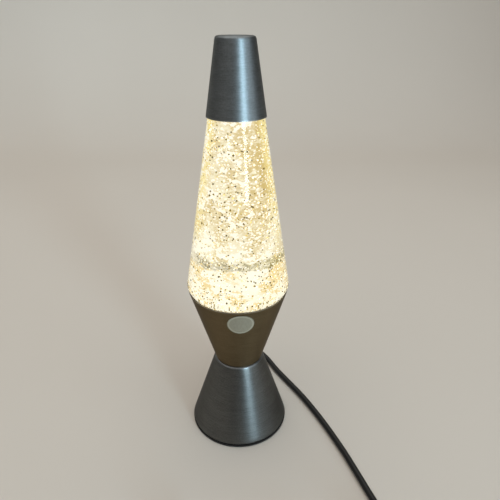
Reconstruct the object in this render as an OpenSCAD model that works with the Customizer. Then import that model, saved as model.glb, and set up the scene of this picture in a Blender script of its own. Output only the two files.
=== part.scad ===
// Liquid motion lamp: a tapered glass globe of glitter in liquid, seated in a
// spun aluminium hourglass base with a small screw bulb inside, under a spun cap.
// The lamp stands on z = 0 with its axis on Z; -Y is the front.

/* [Whole lamp] */
// Height of the lamp from the table to the top of its cap
lamp_h = 368; // [340:0.5:400]

/* [Foot] */
// Thickness of the rubber foot ring
foot_t = 1; // [0.8:0.1:3]
// Width of the rubber foot ring
foot_w = 4; // [2.5:0.1:5]
// Thickness of the base plate
plate_t = 1.8; // [1.6:0.1:4]
// How far the plate's edge lies inside the base cone's edge
plate_in = 0.5; // [0:0.1:2]
// Number of vent slots in the base plate
vent_count = 12; // [6:1:16]
// Length of a vent slot
vent_l = 14; // [8:0.5:18]
// Width of a vent slot
vent_w = 3; // [2:0.1:4]
// Number of screws that hold the base plate
plate_screw_count = 3; // [3:1:6]
// Diameter of a base plate screw
plate_screw_d = 3; // [2.5:0.1:4]

/* [Spun shells] */
// Thickness of the spun aluminium sheet
sheet_t = 1.2; // [0.8:0.1:1.6]
// Diameter of the base cone at its lower edge
base_d = 97.4; // [92:0.2:110]
// Height of the base cone
base_h = 75.6; // [68:0.2:90]
// Diameter of the base cone at its top, the waist
waist_d = 47.2; // [44:0.2:54]
// Width of the lip turned in under the base cone
lip_w = 12; // [10:0.5:16]
// Outside radius of the bend at the top of the base cone
waist_bend_r = 2; // [1.8:0.1:4]
// How far the globe cup's foot stands in from the base cone's top edge
cup_step = 1; // [0.4:0.1:2]
// Diameter of the globe cup at its rim
cup_d = 91.2; // [86:0.2:100]
// Height of the globe cup
cup_h = 76.3; // [70:0.1:90]

/* [Label] */
// Diameter of the bare round label
label_d = 23.6; // [16:0.2:30]
// Thickness of the label
label_t = 0.3; // [0.2:0.05:0.6]
// Distance of the label's middle below the cup's rim
label_drop = 13.9; // [13:0.1:30]
// Turn of the label from the front, towards +X
label_turn = 2.6; // [-20:0.1:20]

/* [Globe] */
// Diameter at the globe's shoulder
shoulder_d = 93.6; // [92:0.2:104]
// Height of the shoulder above the cup's rim
shoulder_h = 5.2; // [3.5:0.1:9]
// Thickness of the glass
glass_t = 2.5; // [1.8:0.1:3.5]
// Depth of the globe below the cup's rim
globe_depth = 36.7; // [30:0.1:38]
// Radius of the globe's heel
heel_r = 7; // [4:0.5:10]
// Height of the mouth above the cap's lower rim
mouth_h = 43; // [38:0.5:46]
// Diameter of the bottle finish at the mouth
finish_d = 26.6; // [24:0.1:27.4]
// Height of the finish's bead
bead_h = 5; // [4:0.1:7]
// Height of the liquid above the cap's lower rim
fill_h = 13; // [4:0.5:18]
// Number of glitter flakes
flake_count = 150; // [60:10:200]
// Width of a glitter flake
flake_w = 1.8; // [1:0.1:3]

/* [Cap] */
// Diameter of the cap at its lower rim
cap_d = 48.2; // [44:0.2:52]
// Diameter of the cap at its top
cap_top_d = 30.6; // [28:0.2:36]
// Height of the cap
cap_h = 57.8; // [52:0.2:66]
// Thickness of the cap's sheet
cap_t = 1; // [0.6:0.1:1.4]
// Radius of the cap's top edge
cap_edge_r = 2.4; // [1.6:0.1:4]
// Length over which the cap lies round the glass
grip_h = 10; // [6:0.5:14]

/* [Lampholder and bulb] */
// Diameter of the lampholder's threaded skirt
skirt_d = 28; // [26:0.2:30]
// Height of the ring nut
nut_h = 6; // [4:0.5:8]
// Diameter of the lampholder's shoulder
holder_d = 36; // [33:0.5:38]
// Depth of the lampholder below the base cone's top
holder_h = 37; // [34:0.5:42]
// Diameter of the bulb's screw cap over its thread
screw_d = 13.8; // [13:0.1:14.4]
// Length of the bulb from its tip contact to its top
bulb_l = 54; // [52:0.5:56]
// Diameter of the bulb
bulb_d = 26; // [24:0.5:27]
// Thickness of the bulb's glass
bulb_t = 0.8; // [0.5:0.1:1.2]

/* [Cord] */
// Diameter of the round cord
cord_d = 6; // [5:0.1:6.2]
// Turns in the coil's lower layer
coil_turns = 3; // [2:0.5:3]
// Radius of the coil's outer turn
coil_r = 46; // [46:1:47]
// Distance between turns
coil_pitch = 6.7; // [6.6:0.1:7]
// Width of the coil's tie
tie_w = 6; // [4:0.5:10]
// Thickness of the coil's tie
tie_t = 0.8; // [0.6:0.1:1.2]

/* [Switch on the cord] */
// Length of the switch case
switch_l = 62; // [56:1:72]
// Width of the switch case
switch_w = 27; // [25:0.5:32]
// Height of the switch case
switch_h = 17; // [16:0.5:20]
// Wall of the switch case
switch_wall = 2; // [1.6:0.1:2.4]
// Length of the rocker
rocker_l = 21; // [16:0.5:24]
// Width of the rocker
rocker_w = 12; // [9:0.5:13]
// Tilt of the rocker to either side
rocker_tilt = 11; // [6:0.5:13]

/* [Plug] */
// Width of the plug at its pins
plug_w = 35; // [32:0.5:38]
// Thickness of the plug
plug_t = 14; // [12:0.5:16]
// Length of the plug's body
plug_l = 30; // [26:0.5:36]
// Length of the plug's tapered cord sleeve
sleeve_l = 22; // [20:0.5:30]
// Diameter of a plug pin
pin_d = 4; // [3.6:0.1:4.8]
// Length of a plug pin outside the body
pin_l = 19; // [16:0.5:20]
// Distance between the two pins
pin_gap = 18.6; // [17:0.1:20]

/* [Clearances] */
// Gap between pieces that move or lift apart
lift_gap = 0.35; // [0.3:0.05:0.6]
// Gap between pieces that are fitted together
fit_gap = 0.1; // [0.05:0.05:0.2]

/* [Hidden] */
$fn = 96;

// How far a cut runs past the face that it opens
over = 1;

// Levels up the lamp
z_base = foot_t + plate_t;
z_waist = z_base + base_h;
z_rim = z_waist + cup_h;
z_shoulder = z_rim + shoulder_h;
z_globe = z_rim - globe_depth;
z_top = lamp_h;
z_cap = z_top - cap_h;
z_mouth = z_cap + mouth_h;

// Radii and slopes of the main forms
base_r = base_d / 2;
waist_r = waist_d / 2;
cup_foot_r = waist_r - cup_step;
cup_r = cup_d / 2;
cap_r = cap_d / 2;
cap_top_r = cap_top_d / 2;
base_lean = atan((base_r - waist_r) / base_h);
cup_lean = atan((cup_r - cup_foot_r) / cup_h);
cap_lean = atan((cap_r - cap_top_r) / cap_h);

// Outer radius of the base cone at a height
function base_wall_r(z) = base_r - (z - z_base) * tan(base_lean);

// Bends in the outlines of the shells and of the glass
edge_bend_r = 1.3;
cup_bend_r = 1.5;
shoulder_bend_r = 6;
grip_bend_r = 20;
throat_bend_r = 8;
neck_bend_r = 5;
bead_bend_r = 0.6;
mouth_bend_r = 1;

// Foot, and the screws and clip nuts that hold the base plate to the lip
foot_in = 1;
vent_start_r = 12;
lip_bend = 1.5;
lip_r = base_r - lip_w;
lip_mid_r = base_r - lip_w / 2 - lip_bend;
lip_nut = [8, 7, 2.4];
plate_screw_start = 30;
plate_head_r = plate_screw_d;
plate_head_h = 1.1;
screw_end = 0.8;
driver_l = 4;
driver_w = 0.8;
driver_depth = 0.6;

// Lampholder: its skirt goes up through both shells, which its ring nut clamps together
skirt_r = skirt_d / 2;
skirt_wall = 2.2;
skirt_proud = 1.4;
hole_gap = 0.25;
flange_hole_r = skirt_r + hole_gap;
z_seat = z_waist - sheet_t;
z_clamp = z_waist + sheet_t;
z_holder = z_seat - holder_h;
z_skirt = z_clamp + nut_h + skirt_proud;
holder_r = 12.5;
collar_h = 4.5;
thread_pitch = 2;
thread_depth = 0.7;
nut_wall = 6;
nut_grips = 18;
nut_grip_r = 1.2;
bore_r = skirt_r - skirt_wall;
shell_l = 20;
shell_t = 0.4;
shell_lip_w = 1;
shell_lip_t = 0.6;
screw_r = screw_d / 2;
shell_r = screw_r + lift_gap;
shell_mid_r = shell_r + shell_t / 2;
shell_bore_r = shell_r + shell_t + fit_gap;
floor_t = 11;
z_floor = z_holder + floor_t;

// Centre contact, terminals and the posts that join them
contact_h = 2.4;
contact_t = 0.6;
contact_w = 4;
post_x = 5.15;
post_r = 1;
shell_post_r = 0.8;
post_end = 0.6;
terminal = [5, 6, 8];
terminal_x = 6.6;
terminal_screw_r = 1.25;
terminal_screw_in = 0.4;
terminal_head_r = 2.2;
terminal_head_t = 1.3;
terminal_head_gap = 0.2;
terminal_lap = 0.3;

// Bulb
z_tip = z_floor + contact_h + lift_gap;
tip_h = 1.4;
tip_r = 2.2;
tip_flat_r = 1.2;
tip_bevel = 0.5;
insulator_h = 4;
insulator_r = 3.4;
screw_l = 18;
screw_turns = 5;
screw_pitch = 2.82;
screw_thread = 0.6;
screw_start = 0.4;
screw_floor = 0.5;
z_screw = z_tip + insulator_h;
bulb_r = bulb_d / 2;
bulb_neck_in = 0.8;
bulb_neck_r = screw_r - bulb_neck_in;
neck_seat = 3;
z_bulb = z_tip + bulb_l;
ball_z = z_bulb - bulb_r;
bulb_neck_z = z_screw + screw_l - neck_seat;
bulb_steps = 16;
stem_l = 14;
stem_r = 4;
stem_top_r = 2;
stem_tip_l = 4;
stem_tip_r = 1;
wire_r = 0.35;
filament_r = 6;
filament_rise = 4;
filament_drop = 12;
filament_z = z_bulb - filament_drop;

// Neck of the globe and the crown that closes it
finish_r = finish_d / 2;
bead_w = 1.8;
bead_slope = 1.2;
neck_r = finish_r - bead_w;
neck_rise = 14;
mouth_step = 0.4;
mouth_wall = glass_t - mouth_step;
liner_t = 0.8;
liner_in = 0.6;
crown_t = 0.4;
crown_r = finish_r + fit_gap + crown_t;
crown_flutes = 21;
flute_r = 1.1;
flute_top_r = 0.5;
flute_end = 0.6;

// Glitter, spread through the liquid by steps that never repeat
z_fill = z_cap + fill_h;
flake_t = 0.2;
flake_sides = 6;
turn_step = 137.508;
reach_step = 0.618034;
roll_step = 0.7549;
pitch_step = 0.5698;

// Where the cord leaves the base: the end of its tapered gland
cord_exit = [-21, 65, 13];
cord_r = cord_d / 2;
exit_turn = atan2(cord_exit.y, cord_exit.x);
exit_reach = norm([cord_exit.x, cord_exit.y]);
gland_neck_r = 4.8;
gland_flange_r = 7;
gland_flange_t = 4.5;
gland_root_r = 5.5;
gland_end_wall = 0.5;
gland_inside = 6;
wall_r = base_wall_r(cord_exit.z);
gland_back_r = wall_r - gland_inside;
lead_r = 1.2;
lead_spread = 1.7;
lead_straight = 6;
lead_out = [5, 3];
lead_sag = [4, 7];
lead_drop = [9, 4];

// Switch, where it lies on the table
switch_at = [121.5, -173];
switch_turn = -90;
switch_corner_r = 6;
split_z = switch_h / 2;
pivot_z = switch_h - 3;
pivot_r = 1.5;
pivot_end = 2.2;
switch_screw_at = [20, -7.5];
switch_screw_r = 1.5;
switch_head_r = 2.7;
switch_head_h = 1.7;
switch_head_z = 0.3;
boss_r = 3.8;
boss_roof = 1.6;
rib_t = 3;
rib_w = 12;
rib_in = 5;
rocker_gap = 0.4;
rocker_rise = 5;
rocker_dish = 2;
rocker_keel = 3.4;
rocker_side = 1.2;
rocker_heel_r = 0.8;
rocker_keel_r = 4;
rocker_edge_r = 1;
rocker_dish_r = 12;
cheek_t = 2.6;
cheek_l = 8;
contact_block = [9, 6, 4];
contact_strip = [5, 4, 1];
contact_block_x = 13;
contact_strip_x = 6.5;

// Plug, where it lies on the table
plug_at = [-13, -180.5];
plug_turn = 135;
plug_waist = 6.5;
plug_lap = 4;
plug_flare = 12;
plug_bend_rs = [8, 3];
sleeve_walls = [0.4, 2.2];
plug_face = sleeve_l + plug_l - plug_lap;
pin_bare = 9;
pin_root = 8;
pin_sleeve_t = 0.5;
pin_core_r = pin_d / 2 - pin_sleeve_t;

// Coil of the cord's spare length, two layers, wound clockwise seen from above
coil_at = [60, -192];
coil_steps = 24;
coil_start = 270;
coil_climb = 0.5;
coil_top_turns = 2.625;
layer_gap = 0.5;
coil_rise = cord_d + layer_gap;
tie_turn = 30;
tie_gap = 0.25;
tie_slack = 0.4;
tie_bend_r = 3;
coil_z = tie_t + tie_gap + cord_r;
coil_inner_r = coil_r - coil_turns * coil_pitch;

// Routes of the cord's free stretches, in order from the lamp
lead_route = [
    cord_exit, [-23, 72, 12.4], [-23, 80, 10.5], [-19.5, 88, 8], [-13, 95.5, 5.5], [-4, 100.5, 3.8],
    [6, 102.5, 3], [16, 101, 3], [25, 96, 3], [32, 87, 3], [45.5, 60, 3], [58.5, 37, 3], [70, 16, 3],
    [80, -5.5, 3], [88.5, -26, 3], [95.5, -45, 3], [101, -61, 3], [105.5, -76, 3], [109.3, -89, 3],
    [112.6, -100.5, 3], [115.3, -109.5, 3], [118.3, -121, 4], [120.5, -131.5, 6.5], [121.5, -142, 8.5],
    [121.5, -150, 8.5]
];
link_route = [
    [121.5, -196, 8.5], [121.5, -204, 8.5], [121.2, -212, 8.1], [118.7, -222, 7], [113.2, -230.8, 5.8],
    [105, -236.2, 4.8], [95.5, -238, 4.2], [82, -238, 4.05], [72, -238, 4.05], [66, -238, 4.05]
];
tail_route = [[15, -208.5, 10.5], [5, -198.5, 9.4], [-5, -188.5, 7.6], [-9, -184.5, 7], [-13, -180.5, 7]];

// Left-hand normal of the step from a to b
function side_of(a, b) = let (d = [b.x - a.x, b.y - a.y]) [-d.y, d.x] / norm(d);

// Outline moved to its left by d; a corner's third number is its radius
function inset(path, d) = [
    for (i = [0 : len(path) - 1])
        let (
            n1 = i > 0 ? side_of(path[i - 1], path[i]) : side_of(path[0], path[1]),
            n2 = i < len(path) - 1 ? side_of(path[i], path[i + 1]) : n1,
            bend = n1.x * n2.y - n1.y * n2.x,
            move = (n1 + n2) * d / (1 + n1 * n2),
            r = is_undef(path[i][2]) ? 0 : path[i][2]
        )
        [path[i].x + move.x, path[i].y + move.y, r == 0 ? 0 : max(r - sign(bend) * d, 0.2)]
];

// Arc that rounds the corner p between a and b
function corner(a, p, b, r) =
    let (
        u = [a.x - p.x, a.y - p.y] / norm([a.x - p.x, a.y - p.y]),
        v = [b.x - p.x, b.y - p.y] / norm([b.x - p.x, b.y - p.y]),
        half = acos(u * v) / 2,
        room = 0.48 * min(norm([a.x - p.x, a.y - p.y]), norm([b.x - p.x, b.y - p.y])),
        reach = min(r / tan(half), room),
        arc_r = reach * tan(half),
        middle = [p.x, p.y] + (u + v) / norm(u + v) * arc_r / sin(half),
        start = [p.x, p.y] + u * reach - middle,
        sweep = sign(u.y * v.x - u.x * v.y) * (180 - 2 * half),
        steps = 6
    )
    [
        for (k = [0 : steps])
            let (t = sweep * k / steps)
            middle + [start.x * cos(t) - start.y * sin(t), start.x * sin(t) + start.y * cos(t)]
    ];

// Outline with its corners rounded
function rounded(path) = [
    for (i = [0 : len(path) - 1])
        let (r = is_undef(path[i][2]) ? 0 : path[i][2])
        each (r == 0 || i == 0 || i == len(path) - 1)
            ? [[path[i].x, path[i].y]]
            : corner(path[i - 1], path[i], path[i + 1], r)
];

function reversed(list) = [for (i = [len(list) - 1 : -1 : 0]) list[i]];

// Turned shell: the outline is its outer face, and its wall lies to the left of it
module spun(path, t) {
    rotate_extrude() polygon(concat(rounded(path), reversed(rounded(inset(path, t)))));
}

// Smooth curve through a route's points
function between(p, i, t) =
    let (
        last = len(p) - 1,
        a = i > 0 ? p[i - 1] : 2 * p[0] - p[1],
        b = p[i],
        c = p[i + 1],
        d = i < last - 1 ? p[i + 2] : 2 * p[last] - p[last - 1]
    )
    0.5 * (2 * b + (c - a) * t + (2 * a - 5 * b + 4 * c - d) * t * t + (3 * b - a - 3 * c + d) * t * t * t);

function smooth(p, n) = concat(
    [for (i = [0 : len(p) - 2], k = [0 : n - 1]) between(p, i, k / n)],
    [p[len(p) - 1]]
);

// Direction of a line of points at its point i
function heading(p, i) = let (d = p[min(i + 1, len(p) - 1)] - p[max(i - 1, 0)]) d / norm(d);

// Length along a line of points
function run_of(p, i = 0) = i >= len(p) - 1 ? 0 : norm(p[i + 1] - p[i]) + run_of(p, i + 1);

// Round tube along a line of points; up is any direction that the line never takes
module tube(points, r, sides, up = [0, 0, 1]) {
    n = len(points);
    rings = [
        for (i = [0 : n - 1])
            let (
                t = heading(points, i),
                x = cross(up, t) / norm(cross(up, t)),
                y = cross(t, x)
            )
            for (k = [0 : sides - 1]) points[i] + r * (x * cos(360 * k / sides) + y * sin(360 * k / sides))
    ];
    walls = [
        for (i = [0 : n - 2], k = [0 : sides - 1])
            let (
                a = i * sides + k,
                b = i * sides + (k + 1) % sides
            )
            each [[a, a + sides, b], [b, a + sides, b + sides]]
    ];
    first = [for (k = [1 : sides - 2]) [0, k, k + 1]];
    last = [for (k = [1 : sides - 2]) [(n - 1) * sides, (n - 1) * sides + k + 1, (n - 1) * sides + k]];
    polyhedron(rings, concat(walls, first, last));
}

// Flat outline of a rectangle with round corners, about its middle
module round_rect(w, h, r) {
    square([w - 2 * r, h], center = true);
    square([w, h - 2 * r], center = true);
    for (x = [-1, 1], y = [-1, 1]) translate([x * (w / 2 - r), y * (h / 2 - r)]) circle(r);
}

// Copies round the lamp's axis
module ring_of(count, r, start = 0) {
    for (i = [0 : count - 1]) rotate(start + 360 * i / count) translate([r, 0, 0]) children();
}

// Outlines of the spun shells and of the glass, as radius, height and bend
base_path = [
    [lip_r, z_base], [base_r, z_base, edge_bend_r], [waist_r, z_waist, waist_bend_r],
    [flange_hole_r, z_waist]
];
cup_path = [[flange_hole_r, z_waist], [cup_foot_r, z_waist, cup_bend_r], [cup_r, z_rim]];
cap_path = [[cap_r, z_cap], [cap_top_r, z_top, cap_edge_r], [0, z_top]];
seat_r = cup_r - (sheet_t + lift_gap) / cos(cup_lean);
grip_r = cap_r - (cap_t + lift_gap) / cos(cap_lean);
glass_path = [
    [0, z_globe],
    [seat_r - globe_depth * tan(cup_lean), z_globe, heel_r],
    [seat_r, z_rim, shoulder_bend_r],
    [shoulder_d / 2, z_shoulder, shoulder_bend_r],
    [grip_r, z_cap, grip_bend_r],
    [grip_r - grip_h * tan(cap_lean), z_cap + grip_h, throat_bend_r],
    [neck_r, z_cap + grip_h + neck_rise, neck_bend_r],
    [neck_r, z_mouth - bead_h - bead_slope],
    [finish_r, z_mouth - bead_h, bead_bend_r],
    [finish_r, z_mouth, mouth_bend_r],
    [neck_r - mouth_wall, z_mouth]
];

module foot_ring() {
    outer_r = base_r - plate_in - foot_in;
    color("#151515") difference() {
        cylinder(r = outer_r, h = foot_t);
        translate([0, 0, -over]) cylinder(r = outer_r - foot_w, h = foot_t + 2 * over);
    }
}

// Copies at the base plate's screws
module at_plate_screws(z) {
    ring_of(plate_screw_count, lip_mid_r, plate_screw_start) translate([0, 0, z]) children();
}

// Slot for a driver, cut up into a screw's head
module driver_slot() {
    translate([-driver_l / 2, -driver_w / 2, -over]) cube([driver_l, driver_w, driver_depth + over]);
}

module base_plate() {
    color("#1b1b1c") difference() {
        translate([0, 0, foot_t]) cylinder(r = base_r - plate_in, h = plate_t);
        at_plate_screws(foot_t - over) {
            cylinder(d = plate_screw_d + 2 * fit_gap, h = plate_t + 2 * over);
            cylinder(r = plate_head_r + fit_gap, h = plate_head_h + over);
        }
        ring_of(vent_count, vent_start_r) translate([0, -vent_w / 2, foot_t - over])
            cube([vent_l, vent_w, plate_t + 2 * over]);
    }
}

module base_plate_screws() {
    color("#b9bcc0") at_plate_screws(foot_t) difference() {
        union() {
            cylinder(r = plate_head_r, h = plate_head_h);
            cylinder(d = plate_screw_d, h = plate_t + sheet_t + lip_nut.z + screw_end);
        }
        driver_slot();
    }
}

module lip_nuts() {
    color("#a8a49a") at_plate_screws(z_base) difference() {
        translate([-lip_nut.x / 2, -lip_nut.y / 2, sheet_t]) cube(lip_nut);
        cylinder(d = plate_screw_d + fit_gap, h = sheet_t + lip_nut.z + over);
    }
}

// Round length of the gland's line, between two distances from the lamp's axis
module gland_line(from_r, to_r, r1, r2) {
    rotate(exit_turn) translate([from_r, 0, cord_exit.z])
        rotate([0, 90, 0]) cylinder(r1 = r1, r2 = r2, h = to_r - from_r);
}

module base_cone() {
    hole_r = gland_neck_r + fit_gap;
    color("#6f6a66") difference() {
        spun(base_path, sheet_t);
        at_plate_screws(z_base - over) cylinder(d = plate_screw_d + 2 * fit_gap, h = sheet_t + 2 * over);
        gland_line(gland_back_r, exit_reach, hole_r, hole_r);
    }
}

// The gland's flanges lie on both faces of the cone's wall, which sits in the groove between them
module cord_gland() {
    front = wall_r + gland_flange_t;
    inner_step = sheet_t / cos(base_lean) + fit_gap;
    color("#0f0f10") {
        difference() {
            gland_line(gland_back_r, front, gland_flange_r, gland_flange_r);
            rotate_extrude() polygon([
                [base_wall_r(z_base) + fit_gap, z_base], [base_wall_r(z_waist) + fit_gap, z_waist],
                [base_wall_r(z_waist) - inner_step, z_waist], [base_wall_r(z_base) - inner_step, z_base]
            ]);
        }
        gland_line(gland_back_r, front, gland_neck_r, gland_neck_r);
        gland_line(front, exit_reach, gland_root_r, cord_r + gland_end_wall);
    }
}

// Route of an insulated wire from the gland's inner end to a terminal
function lead_points(side) =
    let (
        out = [cos(exit_turn), sin(exit_turn), 0],
        across = [-sin(exit_turn), cos(exit_turn), 0],
        start = out * gland_back_r - across * side * lead_spread + [0, 0, cord_exit.z],
        end = [side * terminal_x, 0, z_holder]
    )
    [
        start, start - lead_straight * out,
        0.72 * start + 0.28 * end - lead_out[0] * out - [0, 0, lead_sag[0]],
        0.35 * start + 0.65 * end - lead_out[1] * out - [0, 0, lead_sag[1]],
        end - [0, 0, lead_drop[0]], end - [0, 0, lead_drop[1]], end
    ];

module inner_leads() {
    color("#7a4a2a") tube(smooth(lead_points(1), 3), lead_r, 8, [0.8, 0.6, 0]);
    color("#3b5f8f") tube(smooth(lead_points(-1), 3), lead_r, 8, [0.8, 0.6, 0]);
}

module terminal_pocket(side, gap) {
    translate([side * terminal_x - terminal.x / 2 - gap, -terminal.y / 2 - gap, z_holder - gap])
        cube([terminal.x + 2 * gap, terminal.y + 2 * gap, terminal.z + 2 * gap]);
}

module terminal_screw_line(side, r, from_x, to_x) {
    translate([side * from_x, 0, z_holder + terminal.z / 2])
        rotate([0, side * 90, 0]) cylinder(r = r, h = to_x - from_x);
}

module lamp_socket() {
    thread = [
        for (z = [z_clamp : thread_pitch : z_skirt - thread_pitch])
            each [[skirt_r, z], [skirt_r - thread_depth, z + thread_pitch / 2]]
    ];
    section = concat(
        [
            [0, z_holder], [holder_r, z_holder], [holder_r, z_seat - collar_h],
            [holder_d / 2, z_seat - collar_h], [holder_d / 2, z_seat], [skirt_r, z_seat]
        ],
        thread,
        [
            [skirt_r - thread_depth, z_skirt], [bore_r, z_skirt], [bore_r, z_floor + shell_l],
            [shell_bore_r, z_floor + shell_l], [shell_bore_r, z_floor], [0, z_floor]
        ]
    );
    color("#e6e0d2") difference() {
        rotate_extrude() polygon(section);
        for (side = [-1, 1]) {
            terminal_pocket(side, fit_gap);
            terminal_screw_line(side, terminal_screw_r + 2 * fit_gap, terminal_x, holder_r + over);
            translate([side * post_x, 0, z_holder]) cylinder(r = post_r + fit_gap, h = floor_t + over);
        }
        translate([-shell_mid_r, 0, z_holder]) cylinder(r = shell_post_r + fit_gap, h = floor_t + over);
    }
}

module socket_ring_nut() {
    nut_r = skirt_r + nut_wall;
    color("#2a2a2b") translate([0, 0, z_clamp]) difference() {
        cylinder(r = nut_r, h = nut_h);
        translate([0, 0, -over]) cylinder(r = skirt_r + fit_gap, h = nut_h + 2 * over);
        ring_of(nut_grips, nut_r) translate([0, 0, -over]) cylinder(r = nut_grip_r, h = nut_h + 2 * over);
    }
}

// Post up from a terminal through the lampholder's floor
module terminal_post(x, r) {
    translate([x, 0, z_holder + terminal.z]) cylinder(r = r, h = floor_t - terminal.z + post_end);
}

module socket_shell() {
    color("#c9a24a") {
        translate([0, 0, z_floor]) difference() {
            union() {
                cylinder(r = shell_r + shell_t, h = shell_l);
                translate([0, 0, shell_l]) cylinder(r = shell_r + shell_t + shell_lip_w, h = shell_lip_t);
            }
            translate([0, 0, -over]) cylinder(r = shell_r, h = shell_l + shell_lip_t + 2 * over);
        }
        terminal_post(-shell_mid_r, shell_post_r);
    }
}

module socket_contact() {
    tongue = [
        [6, 0], [6, contact_t], [2.6, contact_h], [-2.6, contact_h], [-3.6, 2 * contact_t],
        [-3.6, contact_t], [-2.4, contact_h - contact_t], [2.4, contact_h - contact_t], [5.2, 0]
    ];
    color("#c9a24a") {
        translate([0, contact_w / 2, z_floor]) rotate([90, 0, 0]) linear_extrude(height = contact_w)
            polygon(tongue);
        terminal_post(post_x, post_r);
    }
}

module socket_terminals() {
    color("#c9a24a") for (side = [-1, 1]) difference() {
        terminal_pocket(side, 0);
        terminal_screw_line(side, terminal_screw_r + fit_gap, terminal_x, holder_r);
    }
}

module terminal_screws() {
    head_x = holder_r + terminal_head_gap;
    color("#b9bcc0") for (side = [-1, 1]) {
        terminal_screw_line(side, terminal_screw_r, terminal_x + terminal_screw_in, head_x + terminal_lap);
        terminal_screw_line(side, terminal_head_r, head_x, head_x + terminal_head_t);
    }
}

module globe_cup() {
    bead_at = cup_r - sheet_t / cos(cup_lean) / 2;
    color("#77706a") {
        spun(cup_path, sheet_t);
        rotate_extrude() translate([bead_at, z_rim]) circle(r = sheet_t / 2, $fn = 24);
    }
}

// The label is the part of a thin cone on the cup's wall that lies within its round outline
module label_disc() {
    wall = [cup_path[1], cup_path[2]];
    glued = inset(wall, -fit_gap / 2);
    face = inset(wall, -fit_gap / 2 - label_t);
    sheet = [for (p = [glued[0], face[0], face[1], glued[1]]) [p.x, p.y]];
    reach = 4;
    color("#7d8273") intersection() {
        rotate_extrude() polygon(sheet);
        rotate(label_turn - 90) translate([cup_r - label_drop * tan(cup_lean), 0, z_rim - label_drop])
            rotate([0, 90 + cup_lean, 0]) translate([0, 0, -reach]) cylinder(d = label_d, h = 2 * reach);
    }
}

module bulb_contact() {
    color("#a9adb2") translate([0, 0, z_tip]) {
        cylinder(r1 = tip_flat_r, r2 = tip_r, h = tip_bevel);
        translate([0, 0, tip_bevel]) cylinder(r = tip_r, h = tip_h - tip_bevel);
    }
}

module bulb_insulator() {
    color("#17181c") translate([0, 0, z_tip + tip_h])
        cylinder(r1 = insulator_r, r2 = screw_r - 1.5 * screw_thread, h = insulator_h - tip_h);
}

module bulb_screw_cap() {
    root_r = screw_r - screw_thread;
    low = z_screw + screw_start;
    high = z_screw + screw_l;
    neck_bore_r = bulb_neck_r + fit_gap;
    hollow_r = bulb_neck_r - screw_thread;
    thread = [
        for (k = [0 : screw_turns - 1])
            each [[root_r, low + k * screw_pitch], [screw_r, low + (k + 0.5) * screw_pitch]]
    ];
    color("#c4c6c9") rotate_extrude() polygon(concat(
        [[root_r - screw_thread, z_screw]],
        thread,
        [
            [root_r, low + screw_turns * screw_pitch], [screw_r - screw_thread / 3, high],
            [neck_bore_r, high], [neck_bore_r, bulb_neck_z], [hollow_r, bulb_neck_z],
            [hollow_r, z_screw + screw_floor], [0, z_screw + screw_floor], [0, z_screw]
        ]
    ));
}

// Outline of the bulb, a ball on a short neck, from the neck's bottom to the top, shrunk by t
function bulb_line(t) =
    let (
        r = bulb_r - t,
        throat = acos((bulb_neck_r - t) / r)
    )
    concat(
        [[0, bulb_neck_z + t], [bulb_neck_r - t, bulb_neck_z + t]],
        [
            for (k = [0 : bulb_steps])
                let (a = -throat + (90 + throat) * k / bulb_steps) [r * cos(a), ball_z + r * sin(a)]
        ]
    );

module bulb_glass() {
    color("#f4ead2", 0.6) rotate_extrude() polygon(concat(bulb_line(0), reversed(bulb_line(bulb_t))));
}

module bulb_stem() {
    color("#dfe6e8", 0.7) translate([0, 0, bulb_neck_z + bulb_t]) {
        cylinder(r1 = stem_r, r2 = stem_top_r, h = stem_l);
        translate([0, 0, stem_l]) cylinder(r = stem_tip_r, h = stem_tip_l);
    }
}

// Two support wires that stand on the stem, and the filament in an arc between them
module bulb_filament() {
    z = bulb_neck_z + bulb_t + stem_l;
    foot_x = (stem_tip_r + stem_top_r) / 2;
    arc = [for (a = [-20 : 20 : 200]) [filament_r * cos(a), 0, filament_z + filament_rise * sin(a)]];
    color("#8c8c90") for (side = [-1, 1]) {
        foot = [side * foot_x, 0, z];
        end = arc[side > 0 ? 0 : len(arc) - 1];
        tube([foot, foot + [0, 0, 1], foot + [side, 0, 3], end], wire_r, 8, [0, 1, 0]);
    }
    color("#ffd890") tube(arc, wire_r, 8, [0, 1, 0]);
}

module glass_globe() {
    color("#f6f0d4", 0.35) spun(glass_path, glass_t);
}

// The liquid fills the glass from its floor to the fill line
module globe_liquid() {
    wetted = inset([for (i = [0 : 6]) glass_path[i]], glass_t + lift_gap / 2);
    color("#f3e6ab", 0.55) rotate_extrude() intersection() {
        polygon(concat([[0, wetted[6].y], [0, wetted[0].y]], rounded(wetted)));
        translate([0, z_globe]) square([shoulder_d, z_fill - z_globe]);
    }
}

// Outer radius of the glass at a height within the liquid
function liquid_r(z) = lookup(z, [
    [z_globe, seat_r - globe_depth * tan(cup_lean)], [z_shoulder, shoulder_d / 2], [z_cap, grip_r],
    [z_cap + grip_h, grip_r - grip_h * tan(cap_lean)]
]);

// Part of a number after its point
function part_of(x) = x - floor(x);

module glitter_flakes() {
    low = z_globe + glass_t + heel_r + flake_w;
    high = z_fill - 2 * flake_w;
    color("#fff6c8") for (i = [0 : flake_count - 1]) {
        z = low + (high - low) * (i + 0.5) / flake_count;
        reach = liquid_r(z) - glass_t - lift_gap - 3 * flake_w;
        rotate(turn_step * i) translate([reach * sqrt(part_of(reach_step * i + 0.3)), 0, z])
            rotate([180 * part_of(roll_step * i), 180 * part_of(pitch_step * i), 0])
            cylinder(d = flake_w, h = flake_t, center = true, $fn = flake_sides);
    }
}

module crown_liner() {
    color("#d8d4c6") translate([0, 0, z_mouth]) cylinder(r = finish_r - liner_in, h = liner_t);
}

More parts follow.
